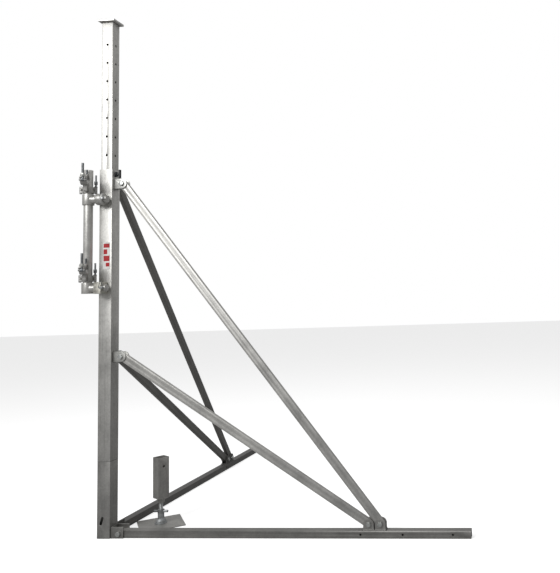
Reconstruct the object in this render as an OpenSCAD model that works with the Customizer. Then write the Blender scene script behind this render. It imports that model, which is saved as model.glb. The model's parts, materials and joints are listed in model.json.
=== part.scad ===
// Braced telescopic mast: a square mast held upright by two bolted floor legs,
// with a side tube that carries two pipe couplers, and a loose screw jack.
// Z is up, X runs along the front leg and Y along the rear leg.

/* [Mast] */
// Outside width of the square outer mast
mast_w = 75; // [70:1:90]
// Wall of the outer mast
mast_wall = 3; // [2:0.5:4]
// Length of the outer mast, floor to rim
mast_len = 2080; // [1740:10:2500]
// Length of the mast's foot tube, which the jack's stub plugs into
foot_tube_len = 420; // [340:10:600]
// Gap between the inner mast and the outer mast, on each side
mast_gap = 2; // [1:0.5:3]
// Wall of the inner mast
inner_wall = 3; // [2:0.5:4]
// Diameter of the pin holes in the inner mast
pin_hole_d = 14; // [11:0.5:16]
// Distance from one pin hole to the next
hole_pitch = 110; // [90:5:135]
// Pin holes that stand above the lock pin
holes_out = 7; // [5:1:8]
// Pin holes below the lock pin
holes_in = 5; // [3:1:6]
// Distance from the top hole to the head plate
hole_from_top = 138; // [60:1:170]
// Inner mast left below its lowest hole
inner_tail = 242; // [150:1:300]
// Height of the lock pin below the outer mast's rim
lock_drop = 25; // [20:1:40]
// Side of the square head plate
head_w = 100; // [90:1:140]
// Thickness of the head plate
head_t = 12; // [8:1:16]

/* [Lock pin and foot slot] */
// Length of the lock pin's boss
lock_boss_len = 7; // [5:1:12]
// Diameter of the lock pin's boss
lock_boss_d = 30; // [26:1:40]
// Height of the lock pin's flat handle
lock_handle_h = 52; // [40:1:70]
// Thickness of the lock pin's handle
lock_handle_t = 9; // [6:1:14]
// Width of the lock pin's handle
lock_handle_w = 14; // [8:1:20]
// Lock pin seen between its boss and its handle
lock_pin_show = 13; // [12:1:20]
// Distance from the mast axis to the foot slot's centre, towards the front
slot_x = -11; // [-14:1:14]
// Height of the foot slot's centre above the floor
slot_z = 95; // [80:1:120]
// Width of the foot slot
slot_w = 14; // [10:1:18]
// Length of the foot slot between its round ends
slot_len = 32; // [20:1:40]
// Lean of the foot slot
slot_lean = 17; // [0:1:30]

/* [Legs] */
// Length of each floor rail
rail_len = 2000; // [1750:10:2400]
// Gap between the mast and the end of a rail
rail_gap = 16; // [12:1:30]
// Width of a rail
rail_w = 50; // [40:1:60]
// Height of a rail
rail_h = 40; // [34:1:50]
// Wall of a rail
rail_wall = 3; // [2:0.5:4]
// Height of the lower brace bolt on the mast
low_z = 1000; // [840:10:1200]
// Drop from the mast's rim to the upper brace bolt
high_drop = 84; // [82:1:200]
// Distance from the mast axis to the lower brace's rail bolt
reach_1 = 1500; // [1250:10:1800]
// Extra distance between the two rail bolts, past the depth of a brace
brace_space = 20; // [16:1:40]
// Gap between the rail and the round end of a brace
brace_floor_gap = 10; // [8:1:20]
// Depth of a brace
brace_h = 44; // [36:0.1:54]
// Thickness of a brace
brace_t = 25; // [20:1:30]
// Wall of a brace
brace_wall = 2.5; // [2:0.5:4]
// Diameter of the frame bolts
bolt_d = 16; // [12:1:18]
// Gap round a bolt in its hole
bolt_gap = 0.25; // [0.1:0.05:0.5]
// Thickness of the bracket ears
ear_t = 6; // [4:1:8]
// Side gap between an ear and what it holds
ear_gap = 1; // [0.5:0.5:2]
// Distance from the mast face to a brace bolt
lug_reach = 47; // [40:1:60]
// Rim of a bracket ear past the round end of a brace
ear_rim = 7; // [4:1:10]
// Thickness of the rail bracket's flange
rail_flange_t = 5; // [4:0.5:7]
// Diameter of the small holes near a rail's end
rail_hole_d = 12; // [8:1:16]
// Height of the foot bracket
foot_h = 62; // [54:1:75]
// Height of the foot bolt
foot_bolt_z = 24; // [18:1:28]

/* [Side tube] */
// Outside diameter of the side tube
tube_d = 48.3; // [42:0.1:60]
// Wall of the side tube
tube_wall = 3.2; // [2.5:0.1:4]
// Length of the side tube above the upper spigot
tube_rise = 171; // [140:1:220]
// Distance from the mast's side to the side tube's axis
tube_side = 46.5; // [44:0.5:60]
// Drop from the mast's rim to the upper spigot
spigot_drop = 180; // [150:1:250]
// Distance between the two spigots
spigot_step = 507; // [460:1:600]
// Height of a spigot sleeve
sleeve_h = 60; // [50:1:70]
// Wall of a spigot sleeve
sleeve_wall = 7; // [5:1:9]
// Diameter of a spigot
spigot_d = 38; // [32:1:42]
// Width of the sockets on the mast
socket_w = 66; // [60:1:74]
// Length of the sockets on the mast
socket_len = 43; // [36:1:50]
// Distance from the mast's side to the start of a socket
socket_inset = 10.5; // [8:0.5:14]
// Width of the upper socket's flat back
socket_back_w = 48; // [40:1:56]
// Spigot seen past its socket
spigot_out = 16; // [14:1:24]
// Side of the linch pin's wire ring
ring_w = 30; // [26:1:40]
// Height of the linch pin's wire ring
ring_h = 38; // [30:1:50]
// Radial gap of every running fit
run_gap = 0.05; // [0.02:0.01:0.1]

/* [Couplers] */
// Turn of the couplers about the side tube
coupler_turn = 20; // [-60:1:60]
// Height of a coupler's collar above its spigot
coupler_rise = 55; // [54:1:70]
// Height of a coupler's collar
collar_h = 36; // [30:1:40]
// Wall of a coupler's collar and cradle
coupler_wall = 6.3; // [5:0.1:8]
// Gap between a coupler's collar and its cradle
cradle_gap = 15; // [13:1:24]
// Height of the cradle's axis above the collar's middle
cradle_rise = 50; // [46:1:60]
// Length of the cradle
cradle_len = 36; // [32:1:44]
// Thickness of the clamp flanges
flange_t = 7.5; // [6:0.5:10]
// Diameter of the swing bolt
swing_d = 12; // [10:1:14]
// Length of the swing bolt above its pin
swing_len = 94; // [80:1:110]
// Diameter of the fixed stud and of the pins
stud_d = 10; // [8:1:12]
// Length of the fixed stud above its flange
stud_len = 64; // [50:1:80]
// Height of the drop pin above the collar's middle
drop_pin_top = 88; // [60:1:100]
// Width of the cap's fork for the swing bolt
fork_w = 32; // [30:1:36]
// Width of the flanges at the stud
flange_w = 24; // [20:1:30]
// Width of the web between collar and cradle
web_w = 20; // [14:1:26]

/* [Jack] */
// Gap between the jack's base plate and the rear rail
jack_gap_x = 5; // [3:1:100]
// Gap between the jack's base plate and the front rail
jack_gap_y = 18; // [3:1:200]
// Turn of the jack's base plate
jack_turn = 36; // [0:1:45]
// Turn of the jack's stub
stub_turn = -33; // [-45:1:45]
// Side of the jack's base plate
jack_base_w = 240; // [200:1:300]
// Thickness of the jack's base plate
jack_base_t = 6; // [4:1:10]
// Height of the domed hub
jack_hub_h = 58; // [46:1:70]
// Diameter of the domed hub
jack_hub_d = 58; // [48:1:70]
// Diameter of the jack's spindle
spindle_d = 24; // [20:1:30]
// Spindle seen between its handles and the nut
spindle_show = 62; // [50:1:80]
// Height of the jack's nut
jack_nut_h = 30; // [24:1:40]
// Length of the jack's square stub
stub_len = 232; // [190:1:280]
// Span of the jack's handles
jack_bar_len = 84; // [70:1:110]
// Diameter of the jack's handles
jack_bar_d = 14; // [10:1:16]
// Distance from the stub's top to its pin hole
stub_hole_drop = 52; // [30:1:80]

/* [Hidden] */
$fn = 64;
in_gap = 0.3;
cut = 1;
half_mast = mast_w / 2;
inner_w = mast_w - 2 * mast_wall - 2 * mast_gap;
lock_z = mast_len - lock_drop;
top_hole_z = lock_z + holes_out * hole_pitch;
head_z = top_hole_z + hole_from_top;
inner_foot_z = lock_z - holes_in * hole_pitch - inner_tail;
lock_pin_d = pin_hole_d - 0.6;
lock_boss_wall = half_mast - mast_wall;
lock_pin_len = mast_wall + lock_boss_len + lock_pin_show;
bolt_hole_r = bolt_d / 2 + bolt_gap;
bolt_af = 1.5 * bolt_d;
bolt_end = 4;
ear_r = brace_h / 2 + ear_rim;
reach_step = brace_h + brace_space;
rail_pin_rise = brace_h / 2 + brace_floor_gap;
rail_hole_backs = [597, 367, 97];
lug_x = half_mast + lug_reach;
lug_gap_y = brace_t / 2 + ear_gap;
foot_gap_y = rail_w / 2 + ear_gap;
rail_x0 = half_mast + rail_gap;
high_z = mast_len - high_drop;
rail_pin_z = rail_h + rail_pin_rise;
reach_2 = reach_1 + reach_step;
tube_y = -half_mast - socket_w / 2;
tube_off = half_mast + tube_side;
high_spigot_z = mast_len - spigot_drop;
low_spigot_z = high_spigot_z - spigot_step;
tube_len = spigot_step + sleeve_h / 2 + tube_rise;
tube_r = tube_d / 2;
tube_z0 = low_spigot_z - sleeve_h / 2;
collar_r = tube_r + run_gap;
collar_out = collar_r + coupler_wall;
sleeve_r = collar_r + sleeve_wall;
socket_x0 = -half_mast + socket_inset;
socket_x1 = socket_x0 + socket_len;
spigot_end = socket_x1 + spigot_out;
spigot_shoulder = 4;
linch_d = 9.5;
linch_x = socket_x1 + linch_d / 2 + 2.25;
linch_head_d = 15;
linch_head_len = 9;
linch_tail = 6;
ring_wire = 3.5;
ring_ball = ring_wire + 0.4;
ring_lean = 4;
linch_y0 = tube_y - socket_w / 2 - 3;
ring_y = linch_y0 - linch_head_len / 2;
knuckle_r = 8;
knuckle_x = collar_out + knuckle_r + in_gap;
pin_r = stud_d / 2;
pin_head_t = 3;
cradle_off = 2 * collar_out + cradle_gap;
swing_nut_af = swing_d + 7;
stud_nut_af = stud_d + 7;
stud_nut_r = stud_nut_af / 2 / cos(30);
flange_z = cradle_rise - in_gap;
cap_z = cradle_rise + in_gap;
cheek_r = 7;
cheek_t = 6.5;
eye_r = 9;
eye_w = 16;
cheek_x = eye_w / 2 + 0.5;
swing_pin_x = cheek_x + cheek_t;
swing_y = -cradle_off - collar_out - eye_r;
swing_z = cradle_rise - cheek_r;
stud_y = -cradle_off + collar_out + stud_nut_r;
stud_flange_y = -cradle_off + collar_r + 2;
stud_flange_len = stud_y + pin_r + 1.5 - stud_flange_y;
nut_flange_t = 3;
stud_nut_h = 15;
swing_nut_h = 16;
swing_nut_z = cradle_rise + flange_t + 5;
fork_gap = 1.5;
web_y0 = -cradle_off + 2;
web_z0 = -12;
grip_r = pin_r + 4;
hub_floor = 8;
hub_foot = 5;
jack_collar_h = 20;
jack_collar_wall = 7;
jack_nut_wall = 8;
jack_flange_t = 5;
jack_half = jack_base_w / 2 * (cos(jack_turn) + sin(jack_turn));
jack_x = rail_w / 2 + jack_gap_x + jack_half;
jack_y = rail_w / 2 + jack_gap_y + jack_half;
spindle_spare = 80;
hub_z = jack_base_t;
bar_z = hub_z + jack_hub_h;
spindle_top = bar_z + spindle_show + jack_nut_h + spindle_spare;
nut_z = bar_z + spindle_show;
stub_z = nut_z + jack_nut_h;
bolt_head_h = 10;
bolt_nut_h = 13;

// Turns a piece drawn for the front leg round to the rear leg
module rear() {
    rotate([0, 0, 90])
        children();
}

// A flat plate standing across Y, from y0 to y0 + t, with its outline in X and Z
module upright(y0, t) {
    translate([0, y0 + t, 0])
        rotate([90, 0, 0])
            linear_extrude(t)
                children();
}

// A rod along X, from x0, at height z and depth y
module rod_x(x0, len, r, y = 0, z = 0) {
    translate([x0, y, z])
        rotate([0, 90, 0])
            cylinder(h = len, r = r);
}

// A rod along Y, from y0
module rod_y(x, y0, len, r, z) {
    translate([x, y0, z])
        rotate([-90, 0, 0])
            cylinder(h = len, r = r);
}

// A hexagon prism along Y
module hex_y(x, y0, len, af, z) {
    translate([x, y0, z])
        rotate([-90, 0, 0])
            cylinder(h = len, d = af / cos(30), $fn = 6);
}

// A square tube along Z
module square_tube(w, wall, z0, len) {
    difference() {
        translate([-w / 2, -w / 2, z0])
            cube([w, w, len]);
        translate([-w / 2 + wall, -w / 2 + wall, z0 - cut])
            cube([w - 2 * wall, w - 2 * wall, len + 2 * cut]);
    }
}

// Outer mast with the lock pin's hole
module mast_outer_tube() {
    color("silver")
        difference() {
            square_tube(mast_w, mast_wall, foot_tube_len, mast_len - foot_tube_len);
            rod_x(0, mast_w, lock_pin_d / 2 + run_gap, 0, lock_z);
        }
}

// Foot of the mast with its slot, butt welded under the outer mast
module mast_foot_tube() {
    color("silver")
        difference() {
            square_tube(mast_w, mast_wall, 0, foot_tube_len);
            translate([slot_x, 0, slot_z])
                rotate([0, slot_lean, 0])
                    upright(-mast_w, 2 * mast_w)
                        slot_outline();
        }
}

// Slot with round ends
module slot_outline() {
    square([slot_w, slot_len], center = true);
    for (end = [-1, 1])
        translate([0, end * slot_len / 2])
            circle(d = slot_w);
}

// Round boss that guides the lock pin
module lock_pin_boss() {
    color("dimgray")
        difference() {
            rod_x(half_mast, lock_boss_len, lock_boss_d / 2, 0, lock_z);
            rod_x(half_mast - cut, lock_boss_len + 2 * cut, lock_pin_d / 2 + run_gap, 0, lock_z);
        }
}

// Lock pin, drawn clear of the inner mast
module lock_pin() {
    color("gray")
        rod_x(lock_boss_wall, lock_pin_len, lock_pin_d / 2, 0, lock_z);
}

// Flat handle welded across the end of the lock pin
module lock_pin_handle() {
    color("dimgray")
        translate([lock_boss_wall + lock_pin_len, -lock_handle_w / 2, lock_z - lock_handle_h / 2])
            cube([lock_handle_t, lock_handle_w, lock_handle_h]);
}

// Inner mast, cross drilled for the pin at every step
module mast_inner_tube() {
    color("gainsboro")
        difference() {
            square_tube(inner_w, inner_wall, inner_foot_z, head_z - inner_foot_z);
            for (step = [-holes_in : holes_out]) {
                rod_x(-inner_w, 2 * inner_w, pin_hole_d / 2, 0, lock_z + step * hole_pitch);
                rod_y(0, -inner_w, 2 * inner_w, pin_hole_d / 2, lock_z + step * hole_pitch);
            }
        }
}

// Square head plate welded on the inner mast
module head_plate() {
    color("gainsboro")
        translate([-head_w / 2, -head_w / 2, head_z])
            cube([head_w, head_w, head_t]);
}

// Lug for a brace: a plate on the mast with two round ended ears
module brace_lug(z) {
    difference() {
        union() {
            translate([half_mast, -lug_gap_y - ear_t, z - ear_r])
                cube([ear_t, 2 * (lug_gap_y + ear_t), 2 * ear_r]);
            for (y0 = [-lug_gap_y - ear_t, lug_gap_y])
                upright(y0, ear_t) {
                    translate([half_mast, z - ear_r])
                        square([lug_reach, 2 * ear_r]);
                    translate([lug_x, z])
                        circle(r = ear_r);
                }
        }
        rod_y(lug_x, -mast_w, 2 * mast_w, bolt_hole_r, z);
    }
}

module front_upper_lug() { color("gainsboro") brace_lug(high_z); }
module front_lower_lug() { color("gainsboro") brace_lug(low_z); }
module rear_upper_lug() { color("gray") rear() brace_lug(high_z); }
module rear_lower_lug() { color("gray") rear() brace_lug(low_z); }

// Foot bracket: a plate on the mast with an ear on each side of the rail
module foot_bracket() {
    difference() {
        union() {
            translate([half_mast, -foot_gap_y - ear_t, 0])
                cube([ear_t, 2 * (foot_gap_y + ear_t), foot_h]);
            for (y0 = [-foot_gap_y - ear_t, foot_gap_y])
                upright(y0, ear_t)
                    translate([half_mast, 0])
                        square([lug_reach + ear_r, foot_h]);
        }
        rod_y(lug_x, -mast_w, 2 * mast_w, bolt_hole_r, foot_bolt_z);
    }
}

module front_foot_bracket() { color("gray") foot_bracket(); }
module rear_foot_bracket() { color("dimgray") rear() foot_bracket(); }

// Floor rail: a rectangular tube, bolted at the foot, with three small holes near its end
module floor_rail() {
    difference() {
        translate([rail_x0, -rail_w / 2, 0])
            cube([rail_len, rail_w, rail_h]);
        translate([rail_x0 - cut, -rail_w / 2 + rail_wall, rail_wall])
            cube([rail_len + 2 * cut, rail_w - 2 * rail_wall, rail_h - 2 * rail_wall]);
        rod_y(lug_x, -rail_w, 2 * rail_w, bolt_hole_r, foot_bolt_z);
        for (back = rail_hole_backs)
            rod_y(rail_x0 + rail_len - back, -rail_w, 2 * rail_w, rail_hole_d / 2, rail_h / 2);
    }
}

module front_rail() { color("gray") floor_rail(); }
module rear_rail() { color("dimgray") rear() floor_rail(); }

// Rail bracket: a flange on the rail with a pair of ears for each brace
module rail_bracket() {
    difference() {
        union() {
            translate([reach_1 - ear_r - cut, -rail_w / 2, rail_h])
                cube([reach_step + 2 * ear_r + 2 * cut, rail_w, rail_flange_t]);
            for (x = [reach_1, reach_2])
                for (y0 = [-lug_gap_y - ear_t, lug_gap_y])
                    upright(y0, ear_t) {
                        translate([x - ear_r, rail_h])
                            square([2 * ear_r, rail_pin_rise]);
                        translate([x, rail_pin_z])
                            circle(r = ear_r);
                    }
        }
        for (x = [reach_1, reach_2])
            rod_y(x, -rail_w, 2 * rail_w, bolt_hole_r, rail_pin_z);
    }
}

module front_rail_bracket() { color("gray") rail_bracket(); }
module rear_rail_bracket() { color("dimgray") rear() rail_bracket(); }

// Brace: a rectangular tube with rounded ends, from a mast lug down to a rail bolt
module brace(z, reach) {
    run = reach - lug_x;
    drop = z - rail_pin_z;
    span = sqrt(run * run + drop * drop);
    translate([lug_x, 0, z])
        rotate([0, atan2(drop, run), 0])
            difference() {
                upright(-brace_t / 2, brace_t) {
                    translate([0, -brace_h / 2])
                        square([span, brace_h]);
                    for (x = [0, span])
                        translate([x, 0])
                            circle(d = brace_h);
                }
                translate([-brace_h, -brace_t / 2 + brace_wall, -brace_h / 2 + brace_wall])
                    cube([span + 2 * brace_h, brace_t - 2 * brace_wall, brace_h - 2 * brace_wall]);
                for (x = [0, span])
                    rod_y(x, -brace_t, 2 * brace_t, bolt_hole_r, 0);
            }
}

module front_upper_brace() { color("lightgray") brace(high_z, reach_2); }
module front_lower_brace() { color("lightgray") brace(low_z, reach_1); }
module rear_upper_brace() { color("dimgray") rear() brace(high_z, reach_2); }
module rear_lower_brace() { color("dimgray") rear() brace(low_z, reach_1); }

// Hex bolt across Y through two ears whose outer faces are half_grip from the middle
module cross_bolt(x, z, half_grip) {
    rod_y(x, -half_grip, 2 * half_grip + bolt_nut_h + bolt_end, bolt_d / 2, z);
    hex_y(x, -half_grip - bolt_head_h, bolt_head_h, bolt_af, z);
}

// Hex nut on the far end of a cross bolt
module cross_nut(x, z, half_grip) {
    difference() {
        hex_y(x, half_grip, bolt_nut_h, bolt_af, z);
        rod_y(x, half_grip - cut, bolt_nut_h + 2 * cut, bolt_d / 2, z);
    }
}

// Every brace bolt at the mast, on both legs
module mast_lug_bolts() {
    color("silver")
        for (turn = [0, 90])
            rotate([0, 0, turn])
                for (z = [low_z, high_z])
                    cross_bolt(lug_x, z, lug_gap_y + ear_t);
}

module mast_lug_nuts() {
    color("silver")
        for (turn = [0, 90])
            rotate([0, 0, turn])
                for (z = [low_z, high_z])
                    cross_nut(lug_x, z, lug_gap_y + ear_t);
}

module rail_bracket_bolts() {
    color("silver")
        for (turn = [0, 90])
            rotate([0, 0, turn])
                for (x = [reach_1, reach_2])
                    cross_bolt(x, rail_pin_z, lug_gap_y + ear_t);
}

module rail_bracket_nuts() {
    color("silver")
        for (turn = [0, 90])
            rotate([0, 0, turn])
                for (x = [reach_1, reach_2])
                    cross_nut(x, rail_pin_z, lug_gap_y + ear_t);
}

module foot_bolts() {
    color("silver")
        for (turn = [0, 90])
            rotate([0, 0, turn])
                cross_bolt(lug_x, foot_bolt_z, foot_gap_y + ear_t);
}

module foot_nuts() {
    color("silver")
        for (turn = [0, 90])
            rotate([0, 0, turn])
                cross_nut(lug_x, foot_bolt_z, foot_gap_y + ear_t);
}

// Round socket with a flat back, welded on the mast
module upper_spigot_socket() {
    color("silver")
        difference() {
            union() {
                rod_x(socket_x0, socket_len, socket_w / 2, tube_y, high_spigot_z);
                translate([socket_x0, tube_y, high_spigot_z - socket_back_w / 2])
                    cube([socket_len, socket_w / 2, socket_back_w]);
            }
            rod_x(socket_x0 - cut, socket_len + 2 * cut, spigot_d / 2 + run_gap, tube_y, high_spigot_z);
        }
}

// Square socket, welded on the mast
module lower_spigot_socket() {
    color("lightgoldenrodyellow")
        difference() {
            translate([socket_x0, tube_y - socket_w / 2, low_spigot_z - socket_w / 2])
                cube([socket_len, socket_w, socket_w]);
            rod_x(socket_x0 - cut, socket_len + 2 * cut, spigot_d / 2 + run_gap, tube_y, low_spigot_z);
        }
}

// Sleeve round the side tube, welded to a spigot that fills a mast socket
module spigot_sleeve(z) {
    difference() {
        union() {
            translate([-tube_off, tube_y, z - sleeve_h / 2])
                cylinder(h = sleeve_h, r = sleeve_r);
            rod_x(-tube_off, tube_off + socket_x0, spigot_d / 2 + spigot_shoulder, tube_y, z);
            rod_x(-tube_off, tube_off + spigot_end, spigot_d / 2, tube_y, z);
        }
        translate([-tube_off, tube_y, z - sleeve_h])
            cylinder(h = 2 * sleeve_h, r = collar_r);
        rod_y(linch_x, tube_y - spigot_d, 2 * spigot_d, linch_d / 2 + run_gap, z);
    }
}

module upper_spigot_sleeve() { color("silver") spigot_sleeve(high_spigot_z); }
module lower_spigot_sleeve() { color("silver") spigot_sleeve(low_spigot_z); }

// Round tube that stands beside the mast
module side_tube() {
    color("lightgray")
        translate([-tube_off, tube_y, tube_z0])
            difference() {
                cylinder(h = tube_len, r = tube_r);
                translate([0, 0, -cut])
                    cylinder(h = tube_len + 2 * cut, r = tube_r - tube_wall);
            }
}

// Linch pin that holds a spigot in its socket
module linch_pin(z) {
    difference() {
        union() {
            rod_y(linch_x, linch_y0, tube_y + spigot_d / 2 + linch_tail - linch_y0, linch_d / 2, z);
            rod_y(linch_x, linch_y0 - linch_head_len, linch_head_len, linch_head_d / 2, z);
        }
        rod_x(linch_x - ring_w, 2 * ring_w, ring_wire / 2 + run_gap, ring_y, z);
    }
}

module upper_linch_pin() { color("silver") linch_pin(high_spigot_z); }
module lower_linch_pin() { color("silver") linch_pin(low_spigot_z); }

// Wire link from one point to the next, with a ball at its start
module wire(from, to) {
    run = to - from;
    translate(from) {
        sphere(d = ring_ball);
        rotate([0, atan2(run[0], run[2]), 0])
            cylinder(h = norm(run), d = ring_wire);
    }
}

// Triangular wire ring through the linch pin's head
module linch_ring(z) {
    left = [linch_x - ring_w / 2, ring_y, z];
    right = [linch_x + ring_w / 2, ring_y, z];
    apex = [linch_x - ring_lean, ring_y, z + ring_h];
    wire(left, right);
    wire(right, apex);
    wire(apex, left);
}

module upper_linch_ring() { color("dimgray") linch_ring(high_spigot_z); }
module lower_linch_ring() { color("dimgray") linch_ring(low_spigot_z); }

// Puts a coupler piece, drawn round its own collar, on the side tube
module on_tube(z) {
    translate([-tube_off, tube_y, z + coupler_rise])
        rotate([0, 0, coupler_turn])
            children();
}

// Half of a collar round the side tube: side is -1 for the front half and 1 for the rear half
module half_collar(side) {
    difference() {
        translate([0, 0, -collar_h / 2])
            cylinder(h = collar_h, r = collar_out);
        translate([0, 0, -collar_h])
            cylinder(h = 2 * collar_h, r = collar_r);
        translate([-collar_out, side > 0 ? -2 * collar_out + in_gap : -in_gap, -collar_h])
            cube([2 * collar_out, 2 * collar_out, 2 * collar_h]);
    }
}

// Knuckle beside the collar with a vertical pin hole
module knuckle(end, side, z0, h) {
    y0 = side > 0 ? in_gap : -knuckle_r;
    difference() {
        union() {
            translate([end * knuckle_x, 0, z0])
                cylinder(h = h, r = knuckle_r);
            translate([end > 0 ? collar_out - 2 : -knuckle_x, y0, z0])
                cube([knuckle_x - collar_out + 2, knuckle_r - in_gap, h]);
        }
        translate([end * knuckle_x, 0, z0 - cut])
            cylinder(h = h + 2 * cut, r = pin_r + run_gap);
    }
}

// Half of the cradle's round jaw: up is 1 for the cap and -1 for the cradle
module half_jaw(up) {
    translate([0, -cradle_off, cradle_rise])
        difference() {
            rod_x(-cradle_len / 2, cradle_len, collar_out);
            rod_x(-cradle_len, 2 * cradle_len, collar_r);
            translate([-cradle_len, -2 * collar_out, up > 0 ? -4 * collar_out + in_gap : -in_gap])
                cube([2 * cradle_len, 4 * collar_out, 4 * collar_out]);
        }
}

// Coupler body: front half of the collar with the cradle forged on
module coupler_body() {
    shell_y = -cradle_off - collar_r - 1;
    difference() {
        union() {
            half_collar(-1);
            for (end = [-1, 1])
                for (z0 = [-collar_h / 2, collar_h / 6 + in_gap])
                    knuckle(end, -1, z0, collar_h / 3 - in_gap);
            half_jaw(-1);
            translate([-web_w / 2, web_y0, web_z0])
                cube([web_w, -collar_r - 2 - web_y0, flange_z - flange_t - web_z0]);
            for (x0 = [-swing_pin_x, cheek_x])
                upright_x(x0, cheek_t) {
                    translate([swing_y, swing_z])
                        circle(r = cheek_r);
                    translate([swing_y, swing_z - cheek_r])
                        square([shell_y - swing_y, 2 * cheek_r - 0.5]);
                }
            translate([-flange_w / 2, stud_flange_y, flange_z - flange_t])
                cube([flange_w, stud_flange_len, flange_t]);
        }
        translate([0, 0, -2 * collar_h])
            cylinder(h = 4 * collar_h, r = collar_r);
        rod_x(-cradle_len, 2 * cradle_len, collar_r, -cradle_off, cradle_rise);
        rod_x(-cradle_len, 2 * cradle_len, pin_r + run_gap, swing_y, swing_z);
        translate([0, stud_y, flange_z - flange_t])
            cylinder(h = cradle_rise, r = pin_r);
    }
}

// A flat plate standing across X, from x0 to x0 + t, with its outline in Y and Z
module upright_x(x0, t) {
    translate([x0, 0, 0])
        rotate([90, 0, 90])
            linear_extrude(t)
                children();
}

// Rear half of the collar
module collar_flap() {
    half_collar(1);
    for (end = [-1, 1])
        knuckle(end, 1, -collar_h / 6 + in_gap, collar_h / 3 - 2 * in_gap);
}

// Cap over the cradle, with an open fork for the swing bolt
module cradle_cap() {
    fork_y = swing_y - swing_d / 2 - 4;
    difference() {
        union() {
            half_jaw(1);
            translate([-fork_w / 2, fork_y, cap_z])
                cube([fork_w, -cradle_off - collar_r - 2 - fork_y, flange_t]);
            translate([-flange_w / 2, stud_flange_y, cap_z])
                cube([flange_w, stud_flange_len, flange_t]);
        }
        translate([-cheek_x, fork_y - cut, cap_z - cut])
            cube([2 * cheek_x, swing_y - fork_y + swing_d / 2 + fork_gap + cut, flange_t + 2 * cut]);
        rod_x(-cradle_len, 2 * cradle_len, collar_r, -cradle_off, cradle_rise);
        translate([0, stud_y, cap_z - cut])
            cylinder(h = flange_t + 2 * cut, r = pin_r + bolt_gap);
    }
}

// Riveted hinge pin of the collar, and the swing bolt's pin
module coupler_pins() {
    translate([-knuckle_x, 0, -collar_h / 2])
        cylinder(h = collar_h, r = pin_r);
    for (z0 = [-collar_h / 2 - pin_head_t, collar_h / 2])
        translate([-knuckle_x, 0, z0])
            cylinder(h = pin_head_t, r = pin_r + 2);
    rod_x(-swing_pin_x, 2 * swing_pin_x, pin_r, swing_y, swing_z);
    for (x0 = [-swing_pin_x - pin_head_t, swing_pin_x])
        rod_x(x0, pin_head_t, pin_r + 1.5, swing_y, swing_z);
}

// Fixed stud at the back of the cradle
module cap_stud() {
    translate([0, stud_y, flange_z - flange_t])
        cylinder(h = stud_len + flange_t, r = pin_r);
}

// Hex nut, af across its flats, with a round flange under it, on a bolt of radius r
module flange_nut(y, z, r, h, af) {
    translate([0, y, z])
        difference() {
            union() {
                cylinder(h = h, d = af / cos(30), $fn = 6);
                cylinder(h = nut_flange_t, d = af / cos(30));
            }
            translate([0, 0, -cut])
                cylinder(h = h + 2 * cut, r = r + run_gap);
        }
}

module stud_nut() {
    flange_nut(stud_y, cap_z + flange_t + in_gap, pin_r, stud_nut_h, stud_nut_af);
}

// Swing bolt with an eye round its pin
module swing_bolt() {
    difference() {
        union() {
            rod_x(-eye_w / 2, eye_w, eye_r, swing_y, swing_z);
            translate([0, swing_y, swing_z])
                cylinder(h = swing_len, d = swing_d);
        }
        rod_x(-eye_w, 2 * eye_w, pin_r + run_gap, swing_y, swing_z);
    }
}

module swing_nut() {
    flange_nut(swing_y, swing_nut_z, swing_d / 2, swing_nut_h, swing_nut_af);
}

// Drop pin that closes the collar, with a stop and a grip
module drop_pin() {
    translate([knuckle_x, 0, -collar_h / 2 - pin_head_t])
        cylinder(h = collar_h / 2 + pin_head_t + drop_pin_top, r = pin_r);
    translate([knuckle_x, 0, collar_h / 2 + in_gap])
        cylinder(h = 4, r = grip_r);
    translate([knuckle_x, 0, collar_h / 2 + 14])
        cylinder(h = 20, r = grip_r);
}

module upper_coupler_body() { color("silver") on_tube(high_spigot_z) coupler_body(); }
module upper_collar_flap() { color("silver") on_tube(high_spigot_z) collar_flap(); }
module upper_cradle_cap() { color("gray") on_tube(high_spigot_z) cradle_cap(); }
module upper_coupler_pins() { color("dimgray") on_tube(high_spigot_z) coupler_pins(); }
module upper_cap_stud() { color("gray") on_tube(high_spigot_z) cap_stud(); }
module upper_stud_nut() { color("silver") on_tube(high_spigot_z) stud_nut(); }
module upper_swing_bolt() { color("gray") on_tube(high_spigot_z) swing_bolt(); }
module upper_swing_nut() { color("silver") on_tube(high_spigot_z) swing_nut(); }
module upper_drop_pin() { color("gray") on_tube(high_spigot_z) drop_pin(); }
module lower_coupler_body() { color("silver") on_tube(low_spigot_z) coupler_body(); }
module lower_collar_flap() { color("silver") on_tube(low_spigot_z) collar_flap(); }
module lower_cradle_cap() { color("gray") on_tube(low_spigot_z) cradle_cap(); }
module lower_coupler_pins() { color("dimgray") on_tube(low_spigot_z) coupler_pins(); }
module lower_cap_stud() { color("gray") on_tube(low_spigot_z) cap_stud(); }
module lower_stud_nut() { color("silver") on_tube(low_spigot_z) stud_nut(); }
module lower_swing_bolt() { color("gray") on_tube(low_spigot_z) swing_bolt(); }
module lower_swing_nut() { color("silver") on_tube(low_spigot_z) swing_nut(); }
module lower_drop_pin() { color("gray") on_tube(low_spigot_z) drop_pin(); }

// Puts a jack piece, drawn round its own axis, in its place on the floor
module at_jack() {
    translate([jack_x, jack_y, 0])
        children();
}

// Square base plate of the jack
module jack_base_plate() {
    color("gray")
        at_jack()
            rotate([0, 0, jack_turn])
                translate([-jack_base_w / 2, -jack_base_w / 2, 0])
                    cube([jack_base_w, jack_base_w, jack_base_t]);
}

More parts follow.
